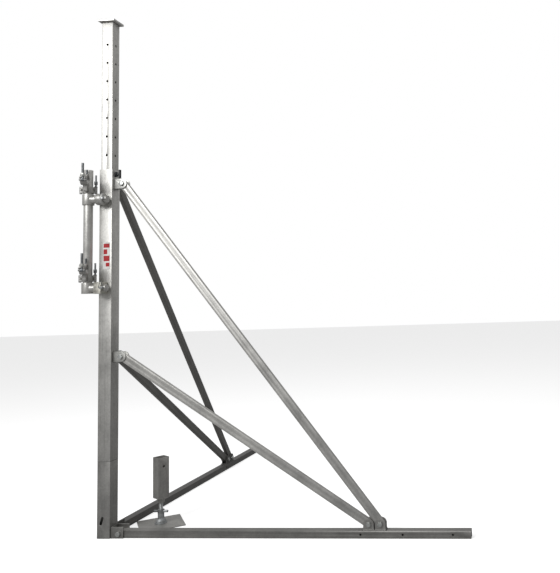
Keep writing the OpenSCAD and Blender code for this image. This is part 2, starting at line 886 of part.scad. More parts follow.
// Domed hub that the spindle turns in
module jack_hub() {
    color("silver")
        at_jack()
            difference() {
                translate([0, 0, hub_z])
                    rotate_extrude()
                        hub_outline();
                translate([0, 0, hub_z + hub_floor])
                    cylinder(h = jack_hub_h, r = spindle_d / 2 + run_gap);
            }
}

// Half section of the hub: a foot ring, a dome and a flat top
module hub_outline() {
    square([jack_hub_d / 2 + hub_foot, hub_foot]);
    square([spindle_d / 2 + 6, jack_hub_h - 0.5]);
    intersection() {
        translate([0, hub_foot])
            circle(r = jack_hub_d / 2);
        square([jack_hub_d, jack_hub_h - 0.5]);
    }
}

// Spindle of the jack, from the hub up into the stub
module jack_spindle() {
    color("lightgray")
        at_jack()
            translate([0, 0, hub_z + hub_floor + in_gap])
                cylinder(h = spindle_top - hub_z - hub_floor - in_gap, r = spindle_d / 2);
}

// Collar on the spindle with two handle bars
module jack_handles() {
    color("silver")
        at_jack()
            translate([0, 0, bar_z])
                difference() {
                    union() {
                        cylinder(h = jack_collar_h, r = spindle_d / 2 + jack_collar_wall);
                        rod_x(-jack_bar_len / 2, jack_bar_len, jack_bar_d / 2, 0, jack_collar_h / 2);
                    }
                    translate([0, 0, -cut])
                        cylinder(h = jack_collar_h + 2 * cut, r = spindle_d / 2);
                }
}

// Nut welded under the stub's end
module jack_nut() {
    color("gray")
        at_jack()
            rotate([0, 0, stub_turn])
                difference() {
                    union() {
                        translate([0, 0, nut_z])
                            cylinder(h = jack_nut_h - jack_flange_t, r = spindle_d / 2 + jack_nut_wall);
                        translate([-inner_w / 2, -inner_w / 2, stub_z - jack_flange_t])
                            cube([inner_w, inner_w, jack_flange_t]);
                    }
                    translate([0, 0, nut_z - cut])
                        cylinder(h = jack_nut_h + 2 * cut, r = spindle_d / 2 + run_gap);
                }
}

// Square stub that plugs into the foot of the mast, with a hole for its pin
module jack_stub() {
    color("gray")
        at_jack()
            rotate([0, 0, stub_turn])
                difference() {
                    square_tube(inner_w, inner_wall, stub_z, stub_len);
                    rod_x(-inner_w, 2 * inner_w, pin_hole_d / 2, 0, stub_z + stub_len - stub_hole_drop);
                }
}

mast_outer_tube();
mast_foot_tube();
lock_pin_boss();
lock_pin();
lock_pin_handle();
mast_inner_tube();
head_plate();
front_upper_lug();
front_lower_lug();
rear_upper_lug();
rear_lower_lug();
front_foot_bracket();
rear_foot_bracket();
front_rail();
rear_rail();
front_rail_bracket();
rear_rail_bracket();
front_upper_brace();
front_lower_brace();
rear_upper_brace();
rear_lower_brace();
mast_lug_bolts();
mast_lug_nuts();
rail_bracket_bolts();
rail_bracket_nuts();
foot_bolts();
foot_nuts();
upper_spigot_socket();
lower_spigot_socket();
upper_spigot_sleeve();
lower_spigot_sleeve();
side_tube();
upper_linch_pin();
lower_linch_pin();
upper_linch_ring();
lower_linch_ring();
upper_coupler_body();
upper_collar_flap();
upper_cradle_cap();
upper_coupler_pins();
upper_cap_stud();
upper_stud_nut();
upper_swing_bolt();
upper_swing_nut();
upper_drop_pin();
lower_coupler_body();
lower_collar_flap();
lower_cradle_cap();
lower_coupler_pins();
lower_cap_stud();
lower_stud_nut();
lower_swing_bolt();
lower_swing_nut();
lower_drop_pin();
jack_base_plate();
jack_hub();
jack_spindle();
jack_handles();
jack_nut();
jack_stub();
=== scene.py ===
"""Finishes a braced telescopic prop mast: a galvanised square mast on two bolted floor legs,
with a side tube that carries two pipe couplers, and a loose screw jack."""

import json
import math

import bmesh
import bpy
import numpy as np
from mathutils import Matrix, Vector


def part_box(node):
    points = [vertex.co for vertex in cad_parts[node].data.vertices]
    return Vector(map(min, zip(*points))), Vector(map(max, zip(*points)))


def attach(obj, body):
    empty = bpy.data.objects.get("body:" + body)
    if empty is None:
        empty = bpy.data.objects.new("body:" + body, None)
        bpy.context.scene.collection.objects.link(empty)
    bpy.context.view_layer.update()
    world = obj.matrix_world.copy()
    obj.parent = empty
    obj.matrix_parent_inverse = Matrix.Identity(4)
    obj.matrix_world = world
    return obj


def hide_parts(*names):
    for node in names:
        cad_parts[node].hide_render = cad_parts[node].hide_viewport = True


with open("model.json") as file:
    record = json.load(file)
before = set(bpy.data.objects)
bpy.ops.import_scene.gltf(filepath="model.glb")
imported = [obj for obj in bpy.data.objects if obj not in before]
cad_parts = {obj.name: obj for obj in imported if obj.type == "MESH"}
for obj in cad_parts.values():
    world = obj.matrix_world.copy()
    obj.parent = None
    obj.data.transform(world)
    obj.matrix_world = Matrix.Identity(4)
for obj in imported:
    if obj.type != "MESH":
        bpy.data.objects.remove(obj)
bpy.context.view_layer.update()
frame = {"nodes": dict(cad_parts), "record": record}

# --- Outer mast ---
# A cold-formed square tube of mild steel, hot-dip galvanised after its lugs were welded on.
# The tube's long edges are rolled round, and zinc has crystallised on it in dull and bright spangle.
EDGE_MAST = 0.004
# The mast's tone is painted darker at the foot and lighter at the top: painted shade and reflection by height.
MAST_SHADED_FOOT = "#a3a29f"
MAST_LIT_TOP = "#dddcd8"
home = {node: body for body, held in frame["record"]["behaviour"]["bodies"].items() for node in held}


def linear(hex_colour):
    """Each sRGB channel c becomes ((c + 0.055) / 1.055) ** 2.4, or c / 12.92 in the darkest part."""
    channels = [int(hex_colour[i:i + 2], 16) / 255 for i in (1, 3, 5)]
    return [c / 12.92 if c <= 0.04045 else ((c + 0.055) / 1.055) ** 2.4 for c in channels] + [1.0]


def add(tree, kind, values=None, links=None, **settings):
    """Adds one shader node with its settings, its socket values and its links."""
    node = tree.nodes.new("ShaderNode" + kind)
    for key, value in settings.items():
        setattr(node, key, value)
    for key, value in (values or {}).items():
        node.inputs[key].default_value = value
    for key, source in (links or {}).items():
        tree.links.new(source, node.inputs[key])
    return node


def galvanised_steel(name, foot, top, foot_z, top_z, turn=(0, 0, 0), metallic=0.75):
    """Zinc coat: a painted shade-to-light tone from foot to top of the piece, times 9 mm crystals, times clouds,
    times drawn streaks.

    The streaks are 4 mm wide and 250 mm long, and turn lays them along the piece."""
    finish = bpy.data.materials.new(name)
    finish.use_nodes = True
    tree = finish.node_tree
    shader = tree.nodes["Principled BSDF"]
    shader.inputs["Metallic"].default_value = metallic
    where = add(tree, "TexCoord").outputs["Object"]
    # Painted light and shade: the tone runs darker at the foot and lighter at the top, as light and reflections fall
    # by height.
    height = add(tree, "SeparateXYZ", links={"Vector": where}).outputs["Z"]
    height_shade = add(tree, "MapRange", {"From Min": foot_z, "From Max": top_z}, {"Value": height})
    tone = add(tree, "Mix", {6: linear(foot), 7: linear(top)}, {0: height_shade.outputs["Result"]}, data_type="RGBA")
    crystals = add(tree, "TexVoronoi", {"Scale": 1 / 0.009}, {"Vector": where})
    grey = add(tree, "RGBToBW", links={"Color": crystals.outputs["Color"]})
    spangle = add(tree, "MapRange", {"To Min": 0.9, "To Max": 1.08}, {"Value": grey.outputs["Val"]})
    clouds = add(tree, "TexNoise", {"Scale": 7.0, "Detail": 5.0, "Roughness": 0.6}, {"Vector": where})
    bloom = add(tree, "MapRange", {"From Min": 0.35, "From Max": 0.65, "To Min": 0.88, "To Max": 1.06},
                {"Value": clouds.outputs["Fac"]})
    along = add(tree, "Mapping", {"Rotation": turn, "Scale": (0.004, 0.004, 0.25)}, {"Vector": where},
                vector_type="TEXTURE")
    streaks = add(tree, "TexNoise", {"Scale": 1.0, "Detail": 3.0}, {"Vector": along.outputs["Vector"]})
    wear = add(tree, "MapRange", {"From Min": 0.58, "From Max": 0.72, "To Min": 1.0, "To Max": 0.72},
               {"Value": streaks.outputs["Fac"]})
    first = add(tree, "Math", links={0: spangle.outputs["Result"], 1: bloom.outputs["Result"]}, operation="MULTIPLY")
    both = add(tree, "Math", links={0: first.outputs[0], 1: wear.outputs["Result"]}, operation="MULTIPLY")
    colour = add(tree, "VectorMath", links={"Vector": tone.outputs[2], "Scale": both.outputs[0]}, operation="SCALE")
    tree.links.new(colour.outputs[0], shader.inputs["Base Color"])
    dull = add(tree, "MapRange", {"From Min": 0.3, "From Max": 0.7, "To Min": 0.34, "To Max": 0.56},
               {"Value": clouds.outputs["Fac"]})
    tree.links.new(dull.outputs["Result"], shader.inputs["Roughness"])
    relief = add(tree, "Bump", {"Strength": 0.25, "Distance": 0.0004}, {"Height": grey.outputs["Val"]})
    tree.links.new(relief.outputs["Normal"], shader.inputs["Normal"])
    return finish


def worked(node, edge, finish):
    """Copies a CAD piece, joins its loose triangles, clears the lines in its flat faces and rounds its edges."""
    source = frame["nodes"][node]
    mesh = source.data.copy()
    shape = bmesh.new()
    shape.from_mesh(mesh)
    bmesh.ops.remove_doubles(shape, verts=shape.verts, dist=1e-6)
    bmesh.ops.dissolve_limit(shape, angle_limit=math.radians(0.3), verts=shape.verts, edges=shape.edges)
    shape.to_mesh(mesh)
    shape.free()
    mesh.polygons.foreach_set("use_smooth", np.ones(len(mesh.polygons), dtype=bool))
    mesh.materials.clear()
    mesh.materials.append(finish)
    piece = bpy.data.objects.new(node + "_worked", mesh)
    bpy.context.scene.collection.objects.link(piece)
    rounding = piece.modifiers.new("rounded_edges", "BEVEL")
    rounding.width = edge
    rounding.segments = 3
    rounding.limit_method = "ANGLE"
    rounding.angle_limit = math.radians(35)
    rounding.use_clamp_overlap = True
    rounding.harden_normals = True
    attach(piece, home[node])
    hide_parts(node)
    return piece


mast_low, mast_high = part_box("mast_outer_tube")
half_mast = mast_high[0]
mast_zinc = galvanised_steel("galvanised_steel_mast", MAST_SHADED_FOOT, MAST_LIT_TOP, 0.1, 1.5)
worked("mast_outer_tube", EDGE_MAST, mast_zinc)
worked("mast_foot_tube", EDGE_MAST, mast_zinc)

# --- Mast label ---
# A printed vinyl sticker, rubbed on after galvanising, on the front face of the mast.
# It holds only plain red blocks on white, and its edges have greyed with dirt.
LABEL_LEFT = -0.014
LABEL_RIGHT = 0.029
LABEL_FOOT = 1.500
LABEL_TOP = 1.655
LABEL_WHITE = "#f2f1ee"
LABEL_RED = "#b8262c"
LABEL_CORNER = 0.004
BLOCK_CORNER = 0.0015
VINYL_THICK = 0.0003
INK_THICK = 0.0002
# Each block's foot, top, left and right, as shares of the label
LABEL_BLOCKS = [(0.80, 0.95, 0.08, 0.92), (0.56, 0.74, 0.08, 0.60),
                (0.30, 0.50, 0.08, 0.92), (0.10, 0.24, 0.40, 0.92)]


def vinyl(name, colour):
    """Printed vinyl: one ink colour, greyed by dirt in 30 mm clouds."""
    finish = bpy.data.materials.new(name)
    finish.use_nodes = True
    tree = finish.node_tree
    shader = tree.nodes["Principled BSDF"]
    where = add(tree, "TexCoord").outputs["Object"]
    dirt = add(tree, "TexNoise", {"Scale": 1 / 0.03, "Detail": 4.0}, {"Vector": where})
    shade = add(tree, "MapRange", {"From Min": 0.4, "From Max": 0.7, "To Min": 1.0, "To Max": 0.75},
                {"Value": dirt.outputs["Fac"]})
    tone = add(tree, "VectorMath", {"Vector": linear(colour)[:3]}, {"Scale": shade.outputs["Result"]},
               operation="SCALE")
    tree.links.new(tone.outputs[0], shader.inputs["Base Color"])
    shader.inputs["Roughness"].default_value = 0.42
    return finish


def label_sheet(name, left, right, foot, top, lift, thick, corner, finish):
    """A flat sheet on the mast's front face: a rectangle with quarter-circle corners, pushed out by thick."""
    arcs = np.radians(np.arange(0, 91, 15))
    ring = []
    for start, x, z in ((0, right, top), (90, left, top), (180, left, foot), (270, right, foot)):
        angle = arcs + math.radians(start)
        centre_x = x - corner if x == right else x + corner
        centre_z = z - corner if z == top else z + corner
        ring.append(np.column_stack([centre_x + corner * np.cos(angle), centre_z + corner * np.sin(angle)]))
    ring = np.vstack(ring)
    count = len(ring)
    back = np.column_stack([ring[:, 0], np.full(count, -half_mast - lift), ring[:, 1]])
    front = back - [0, thick, 0]
    after = np.roll(np.arange(count), -1)
    sides = np.column_stack([np.arange(count), after, after + count, np.arange(count) + count])
    faces = sides[:, ::-1].tolist() + [list(range(count)), list(range(2 * count - 1, count - 1, -1))]
    mesh = bpy.data.meshes.new(name)
    mesh.from_pydata(np.vstack([back, front]).tolist(), [], faces)
    shape = bmesh.new()
    shape.from_mesh(mesh)
    bmesh.ops.recalc_face_normals(shape, faces=shape.faces)
    shape.to_mesh(mesh)
    shape.free()
    mesh.materials.append(finish)
    piece = bpy.data.objects.new(name, mesh)
    bpy.context.scene.collection.objects.link(piece)
    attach(piece, "frame")
    return piece


white_vinyl = vinyl("printed_vinyl_white", LABEL_WHITE)
red_vinyl = vinyl("printed_vinyl_red", LABEL_RED)
label_w = LABEL_RIGHT - LABEL_LEFT
label_h = LABEL_TOP - LABEL_FOOT
label_sheet("mast_label", LABEL_LEFT, LABEL_RIGHT, LABEL_FOOT, LABEL_TOP, 0.0, VINYL_THICK, LABEL_CORNER, white_vinyl)
for number, (low, high, start, end) in enumerate(LABEL_BLOCKS):
    label_sheet(f"mast_label_block_{number}", LABEL_LEFT + start * label_w, LABEL_LEFT + end * label_w,
                LABEL_FOOT + low * label_h, LABEL_FOOT + high * label_h,
                VINYL_THICK, INK_THICK, BLOCK_CORNER, red_vinyl)

# --- Inner mast and head plate ---
# A second square tube, cross-drilled at every step, slides in the outer mast and carries a flat head plate.
# The plate is sawn from bar and fillet-welded round the tube, and the tube is newer and brighter zinc, with painted
# light making it a little lighter towards its top.
EDGE_INNER = 0.0035
EDGE_PLATE = 0.0015
# Painted light: the inner tube's tone is painted a little lighter towards its top.
INNER_SHADED_FOOT = "#cfceca"
INNER_LIT_TOP = "#d8d7d3"
# Weld beads are painted dark near the floor and lighter higher up: painted shade by height.
WELD_SHADED_FOOT = "#5d5c5a"
WELD_LIT_TOP = "#a09f9b"
BEAD = 0.0032
BEAD_PITCH = 0.006
BEAD_STEP = 0.0015
BEAD_SWELL = 0.14
BEAD_SIDES = 8
SEAM_BEAD = 0.0022
SEAM_SINK = 0.0016


def weld_bead(name, body, corners, up, closed=True, radius=BEAD):
    """A fillet weld: a circle carried along straight runs between corners, swelling by 14% every 6 mm.

    Each ring stands square to the run, with its first axis along up, the normal of the joint's plane."""
    ends = np.array(corners + corners[:1] if closed else corners, dtype=float)
    runs = []
    for start, end in zip(ends[:-1], ends[1:]):
        steps = max(2, int(np.linalg.norm(end - start) / BEAD_STEP))
        runs.append(start + (end - start) * np.linspace(0, 1, steps, endpoint=False)[:, None])
    path = np.vstack(runs if closed else runs + [ends[-1:]])
    ahead = np.roll(path, -1, axis=0) - np.roll(path, 1, axis=0)
    if not closed:
        ahead[0], ahead[-1] = path[1] - path[0], path[-1] - path[-2]
    ahead /= np.linalg.norm(ahead, axis=1)[:, None]
    up = np.array(up, dtype=float)
    side = np.cross(ahead, up)
    side /= np.linalg.norm(side, axis=1)[:, None]
    travelled = np.arange(len(path)) * BEAD_STEP
    swell = radius * (1 + BEAD_SWELL * np.sin(2 * np.pi * travelled / BEAD_PITCH))
    angle = np.linspace(0, 2 * np.pi, BEAD_SIDES, endpoint=False)
    rings = path[:, None] + swell[:, None, None] * (
        np.cos(angle)[None, :, None] * side[:, None] + np.sin(angle)[None, :, None] * up)
    count, round_count = len(path), len(angle)
    grid = np.arange(count * round_count).reshape(count, round_count)
    nearer = grid if closed else grid[:-1]
    further = np.roll(grid, -1, axis=0) if closed else grid[1:]
    faces = np.stack([nearer, np.roll(nearer, -1, 1), np.roll(further, -1, 1), further], axis=-1)
    faces = faces.reshape(-1, 4).tolist()
    if not closed:
        faces += [grid[0].tolist(), grid[-1][::-1].tolist()]
    mesh = bpy.data.meshes.new(name)
    mesh.from_pydata(rings.reshape(-1, 3).tolist(), [], faces)
    shape = bmesh.new()
    shape.from_mesh(mesh)
    bmesh.ops.recalc_face_normals(shape, faces=shape.faces)
    shape.to_mesh(mesh)
    shape.free()
    mesh.polygons.foreach_set("use_smooth", np.ones(len(mesh.polygons), dtype=bool))
    mesh.materials.append(weld_zinc)
    piece = bpy.data.objects.new(name, mesh)
    bpy.context.scene.collection.objects.link(piece)
    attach(piece, body)
    return piece


inner_low, inner_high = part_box("mast_inner_tube")
half_inner = inner_high[0]
weld_zinc = galvanised_steel("galvanised_weld_metal", WELD_SHADED_FOOT, WELD_LIT_TOP, 0.1, 2.0)
inner_zinc = galvanised_steel("galvanised_steel_inner", INNER_SHADED_FOOT, INNER_LIT_TOP, 2.0, 3.0)
seam_out = half_mast - SEAM_SINK
weld_bead("mast_seam_weld", "frame", [(seam_out, seam_out, mast_low[2]), (-seam_out, seam_out, mast_low[2]),
          (-seam_out, -seam_out, mast_low[2]), (seam_out, -seam_out, mast_low[2])], (0, 0, 1), radius=SEAM_BEAD)
worked("mast_inner_tube", EDGE_INNER, inner_zinc)
worked("head_plate", EDGE_PLATE, inner_zinc)
under_head = inner_high[2]
weld_bead("head_plate_weld", "inner_mast",
          [(half_inner, half_inner, under_head), (-half_inner, half_inner, under_head),
           (-half_inner, -half_inner, under_head), (half_inner, -half_inner, under_head)], (0, 0, 1))

# --- Lock pin ---
# A turned steel pin in a round boss on the mast, with a flat bar welded across it to pull it by.
# The bar has lost its zinc to hands and dirt and is nearly black.
HANDLE_STEEL = "#3a3b3c"
BOSS_STEEL = "#5b5d5f"
EDGE_BOSS = 0.001
EDGE_PIN = 0.0008
EDGE_BAR = 0.0015


def worn_steel(name, colour, rough, metallic=0.8, pit=0.003, height=0.0002):
    """Bare or blackened steel: one tone with cloudy handling wear and small pits from forging or rust."""
    finish = bpy.data.materials.new(name)
    finish.use_nodes = True
    tree = finish.node_tree
    shader = tree.nodes["Principled BSDF"]
    shader.inputs["Metallic"].default_value = metallic
    where = add(tree, "TexCoord").outputs["Object"]
    clouds = add(tree, "TexNoise", {"Scale": 1 / 0.02, "Detail": 6.0, "Roughness": 0.65}, {"Vector": where})
    shade = add(tree, "MapRange", {"From Min": 0.3, "From Max": 0.7, "To Min": 0.7, "To Max": 1.25},
                {"Value": clouds.outputs["Fac"]})
    tone = add(tree, "VectorMath", {"Vector": linear(colour)[:3]}, {"Scale": shade.outputs["Result"]},
               operation="SCALE")
    tree.links.new(tone.outputs[0], shader.inputs["Base Color"])
    gloss = add(tree, "MapRange", {"From Min": 0.3, "From Max": 0.7, "To Min": rough - 0.1, "To Max": rough + 0.12},
                {"Value": clouds.outputs["Fac"]})
    tree.links.new(gloss.outputs["Result"], shader.inputs["Roughness"])
    pits = add(tree, "TexNoise", {"Scale": 1 / pit, "Detail": 3.0}, {"Vector": where})
    relief = add(tree, "Bump", {"Strength": 0.5, "Distance": height}, {"Height": pits.outputs["Fac"]})
    tree.links.new(relief.outputs["Normal"], shader.inputs["Normal"])
    return finish


boss_steel = worn_steel("worn_zinc_boss", BOSS_STEEL, 0.5)
handle_steel = worn_steel("blackened_steel_handle", HANDLE_STEEL, 0.5)
worked("lock_pin_boss", EDGE_BOSS, boss_steel)
worked("lock_pin", EDGE_PIN, boss_steel)
worked("lock_pin_handle", EDGE_BAR, handle_steel)

# --- Brace lugs ---
# Flame-cut plate bent to a fork, or three plates welded up, then welded to the mast on all four sides.
# The front pair is painted lighter where it catches the light, and the rear pair is painted darker as painted shade.
LUG_FRONT_LIT = "#cfcfcb"
LUG_REAR_SHADED = "#7d7c79"
EDGE_LUG = 0.0008
front_lug_zinc = galvanised_steel("galvanised_plate_front_lug", LUG_FRONT_LIT, LUG_FRONT_LIT, 0, 1)
rear_lug_zinc = galvanised_steel("galvanised_plate_rear_lug", LUG_REAR_SHADED, LUG_REAR_SHADED, 0, 1)
for place in ("upper", "lower"):
    worked(f"front_{place}_lug", EDGE_LUG, front_lug_zinc)
    worked(f"rear_{place}_lug", EDGE_LUG, rear_lug_zinc)
    low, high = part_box(f"front_{place}_lug")
    weld_bead(f"front_{place}_lug_weld", "frame",
              [(half_mast, low[1], low[2]), (half_mast, high[1], low[2]),
               (half_mast, high[1], high[2]), (half_mast, low[1], high[2])], (1, 0, 0))
    low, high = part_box(f"rear_{place}_lug")
    weld_bead(f"rear_{place}_lug_weld", "frame",
              [(low[0], half_mast, low[2]), (high[0], half_mast, low[2]),
               (high[0], half_mast, high[2]), (low[0], half_mast, high[2])], (0, 1, 0))

# --- Foot brackets ---
# A plate and two square ears, welded to the mast just above the floor, take the end of each rail.
# Their zinc is painted grey and dark as painted shade near the floor, the rear one darker still.
FOOT_FRONT_SHADE = "#93928f"
FOOT_REAR_SHADE = "#5d5c5a"
EDGE_FOOT = 0.0012
FOOT_WELD_START = 0.004
worked("front_foot_bracket", EDGE_FOOT,
       galvanised_steel("galvanised_plate_front_foot", FOOT_FRONT_SHADE, FOOT_FRONT_SHADE, 0, 1))
worked("rear_foot_bracket", EDGE_FOOT,
       galvanised_steel("galvanised_plate_rear_foot", FOOT_REAR_SHADE, FOOT_REAR_SHADE, 0, 1))
low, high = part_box("front_foot_bracket")
weld_bead("front_foot_weld", "frame", [(half_mast, low[1], FOOT_WELD_START), (half_mast, low[1], high[2]),
          (half_mast, high[1], high[2]), (half_mast, high[1], FOOT_WELD_START)], (1, 0, 0), closed=False)
low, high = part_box("rear_foot_bracket")
weld_bead("rear_foot_weld", "frame", [(low[0], half_mast, FOOT_WELD_START), (low[0], half_mast, high[2]),
          (high[0], half_mast, high[2]), (high[0], half_mast, FOOT_WELD_START)], (0, 1, 0), closed=False)

# --- Floor rails ---
# Rectangular hollow section with rolled corners, galvanised, one out to the front and one to the rear.
# Boots and floors have worn and scratched them along their length.
# Both rails are painted darker than the mast's top as painted shade near the floor, the rear rail darker still.
RAIL_FRONT_SHADE = "#9a9996"
RAIL_REAR_SHADE = "#7a7977"
EDGE_RAIL = 0.004
worked("front_rail", EDGE_RAIL,
       galvanised_steel("galvanised_steel_front_rail", RAIL_FRONT_SHADE, RAIL_FRONT_SHADE, 0, 1, (0, math.pi / 2, 0)))
worked("rear_rail", EDGE_RAIL,
       galvanised_steel("galvanised_steel_rear_rail", RAIL_REAR_SHADE, RAIL_REAR_SHADE, 0, 1, (math.pi / 2, 0, 0)))

# --- Rail brackets ---
# A flange plate with two pairs of round-topped ears, welded on top of each rail near its end.
# The cut edges of the plate are bright where straps and boots have polished them.
# The brackets are painted dark as painted shade near the floor, the rear one darker than the front.
BRACKET_FRONT_SHADE = "#a9a8a5"
BRACKET_REAR_SHADE = "#6a6967"
EDGE_BRACKET = 0.0008
WELD_INSET = 0.005
worked("front_rail_bracket", EDGE_BRACKET,
       galvanised_steel("galvanised_plate_front_bracket", BRACKET_FRONT_SHADE, BRACKET_FRONT_SHADE, 0, 1))
worked("rear_rail_bracket", EDGE_BRACKET,
       galvanised_steel("galvanised_plate_rear_bracket", BRACKET_REAR_SHADE, BRACKET_REAR_SHADE, 0, 1))
rail_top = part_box("front_rail")[1][2]
low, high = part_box("front_rail_bracket")
for end, x in (("near", low[0]), ("far", high[0])):
    weld_bead(f"front_bracket_weld_{end}", "frame",
              [(x, low[1] + WELD_INSET, rail_top), (x, high[1] - WELD_INSET, rail_top)], (0, 0, 1), closed=False)
low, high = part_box("rear_rail_bracket")
for end, y in (("near", low[1]), ("far", high[1])):
    weld_bead(f"rear_bracket_weld_{end}", "frame",
              [(low[0] + WELD_INSET, y, rail_top), (high[0] - WELD_INSET, y, rail_top)], (0, 0, 1), closed=False)

# --- Braces ---
# Rectangular tubes with round-cut ends, bolted from the mast lugs down to the rail brackets.
# The front pair is painted light, brightest at the top, as the light falls on it, and the rear pair is painted dark
# all over as painted shade.
BRACE_FOOT = "#c0bfbc"
BRACE_TOP = "#d2d1cd"
REAR_BRACE_FOOT = "#807f7c"
REAR_BRACE_TOP = "#83827f"
EDGE_BRACE = 0.0025
for place in ("upper", "lower"):
    low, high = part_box(f"front_{place}_brace")
    lean = math.atan2(high[0] - low[0], -(high[2] - low[2]))
    worked(f"front_{place}_brace", EDGE_BRACE,
           galvanised_steel(f"galvanised_steel_front_{place}_brace", BRACE_FOOT, BRACE_TOP, 0.1, high[2] * 0.9,
                            (0, lean, 0)))
    worked(f"rear_{place}_brace", EDGE_BRACE,
           galvanised_steel(f"galvanised_steel_rear_{place}_brace", REAR_BRACE_FOOT, REAR_BRACE_TOP, 0.1, high[2],
                            (-lean, 0, 0)))

# --- Frame bolts and nuts ---
# M16 hexagon bolts and nuts of zinc-plated steel, through the ears of the lugs and brackets.
# They are brighter than the plate round them, with worn corners.
BOLT_ZINC = "#c9cbc9"
EDGE_BOLT = 0.0008
bolt_zinc = worn_steel("zinc_plated_bolt", BOLT_ZINC, 0.36, 0.9)
for group in ("mast_lug", "rail_bracket", "foot"):
    worked(f"{group}_bolts", EDGE_BOLT, bolt_zinc)
    worked(f"{group}_nuts", EDGE_BOLT, bolt_zinc)

# --- Spigot sockets ---
# Thick sockets welded to the front face of the mast: a round one above and a square one below.
# The lower one is plated in pale yellow zinc.
SOCKET_ZINC = "#d0cfcb"
SOCKET_YELLOW = "#cbc9bf"
EDGE_SOCKET = 0.0015
SOCKET_WELD_INSET = 0.01
worked("upper_spigot_socket", EDGE_SOCKET,
       galvanised_steel("galvanised_upper_socket", SOCKET_ZINC, SOCKET_ZINC, 0, 1))
worked("lower_spigot_socket", EDGE_SOCKET,
       worn_steel("yellow_zinc_lower_socket", SOCKET_YELLOW, 0.4, 0.7, 0.004, 0.0001))
for place in ("upper", "lower"):
    low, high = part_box(f"{place}_spigot_socket")
    weld_bead(f"{place}_socket_weld", "frame",
              [(low[0], -half_mast, low[2] + SOCKET_WELD_INSET), (high[0], -half_mast, low[2] + SOCKET_WELD_INSET),
               (high[0], -half_mast, high[2] - SOCKET_WELD_INSET),
               (low[0], -half_mast, high[2] - SOCKET_WELD_INSET)], (0, 1, 0))

# --- Spigot sleeves and side tube ---
# Short turned sleeves on spigots hold a standard round scaffold tube beside the mast.
# The tube is drawn and galvanised, and the sleeves are cut from thick tube and zinc plated.
SLEEVE_ZINC = "#d2d1cd"
TUBE_ZINC = "#dcdbd7"
EDGE_SLEEVE = 0.0015
EDGE_TUBE = 0.0006
sleeve_zinc = galvanised_steel("galvanised_spigot_sleeve", SLEEVE_ZINC, SLEEVE_ZINC, 0, 1)
worked("upper_spigot_sleeve", EDGE_SLEEVE, sleeve_zinc)
worked("lower_spigot_sleeve", EDGE_SLEEVE, sleeve_zinc)
worked("side_tube", EDGE_TUBE, galvanised_steel("galvanised_side_tube", TUBE_ZINC, TUBE_ZINC, 0, 1))

# --- Linch pins and rings ---
# Plain pins with a round head and a bent wire ring keep each spigot in its socket.
# Both are zinc-plated steel wire and bar.
PIN_ZINC = "#b9bbbb"
WIRE_ZINC = "#77797a"
EDGE_LINCH = 0.0006
EDGE_WIRE = 0.0002
pin_zinc = worn_steel("zinc_plated_linch_pin", PIN_ZINC, 0.35, 0.9)
wire_zinc = worn_steel("zinc_plated_wire_ring", WIRE_ZINC, 0.4, 0.85)
for place in ("upper", "lower"):
    worked(f"{place}_linch_pin", EDGE_LINCH, pin_zinc)
    worked(f"{place}_linch_ring", EDGE_WIRE, wire_zinc)

# --- Couplers ---
# Drop-forged pipe couplers: collar halves on a hinge pin and a drop pin, with a cradle and cap for a level tube.
# Forging leaves a slightly pitted skin under dull zinc.
FORGED = "#b8b7b4"
CAP_FORGED = "#a6a5a2"
DARK_PIN = "#85888a"
NUT_ZINC = "#c4c5c0"
EDGE_FORGED = 0.0012
EDGE_TURNED = 0.0006
EDGE_NUT = 0.0008
THREAD_PITCH = 0.0018
STUD_R = 0.005
SWING_R = 0.006
ROOT_SINK = 0.0002
CREST_RISE = 0.0006
THREAD_START = 0.0005
THREAD_END = 0.002
FINE_STARTS = 32
forged_zinc = worn_steel("drop_forged_zinc", FORGED, 0.5, 0.75, 0.004, 0.0004)
cap_zinc = worn_steel("drop_forged_cap_zinc", CAP_FORGED, 0.5, 0.75, 0.004, 0.0004)
dark_steel = worn_steel("dark_oiled_steel", DARK_PIN, 0.4, 0.85)
nut_zinc = worn_steel("zinc_plated_nut", NUT_ZINC, 0.34, 0.9)


def screw(name, body, centre, foot, top, root, crest, pitch, finish, starts=48, step=0.125):
    """A screw thread: radius against height and angle is a trapezium wave between root and crest.

    The wave's phase is height / pitch - angle / full turn, and it fades to the root over half a pitch at each end."""
    rows = max(8, int((top - foot) / (pitch * step)))
    height = np.linspace(foot, top, rows)[:, None]
    angle = np.linspace(0, 2 * np.pi, starts, endpoint=False)[None, :]
    phase = np.mod(height / pitch - angle / (2 * np.pi), 1.0)
    wave = np.clip(2.0 - 6.0 * np.abs(phase - 0.5), 0.0, 1.0)
    fade = np.clip(np.minimum(height - foot, top - height) / (pitch / 2), 0.0, 1.0)
    radius = root + (crest - root) * wave * fade
    points = np.stack([centre[0] + radius * np.cos(angle), centre[1] + radius * np.sin(angle),
                       np.broadcast_to(height, radius.shape)], axis=-1).reshape(-1, 3)
    grid = np.arange(rows * starts).reshape(rows, starts)
    faces = np.stack([grid[:-1], np.roll(grid[:-1], -1, 1), np.roll(grid[1:], -1, 1), grid[1:]], axis=-1)
    faces = faces.reshape(-1, 4).tolist() + [grid[0][::-1].tolist(), grid[-1].tolist()]
    mesh = bpy.data.meshes.new(name)
    mesh.from_pydata(points.tolist(), [], faces)
    mesh.polygons.foreach_set("use_smooth", np.ones(len(mesh.polygons), dtype=bool))
    mesh.materials.append(finish)
    piece = bpy.data.objects.new(name, mesh)
    bpy.context.scene.collection.objects.link(piece)
    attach(piece, body)
    return piece


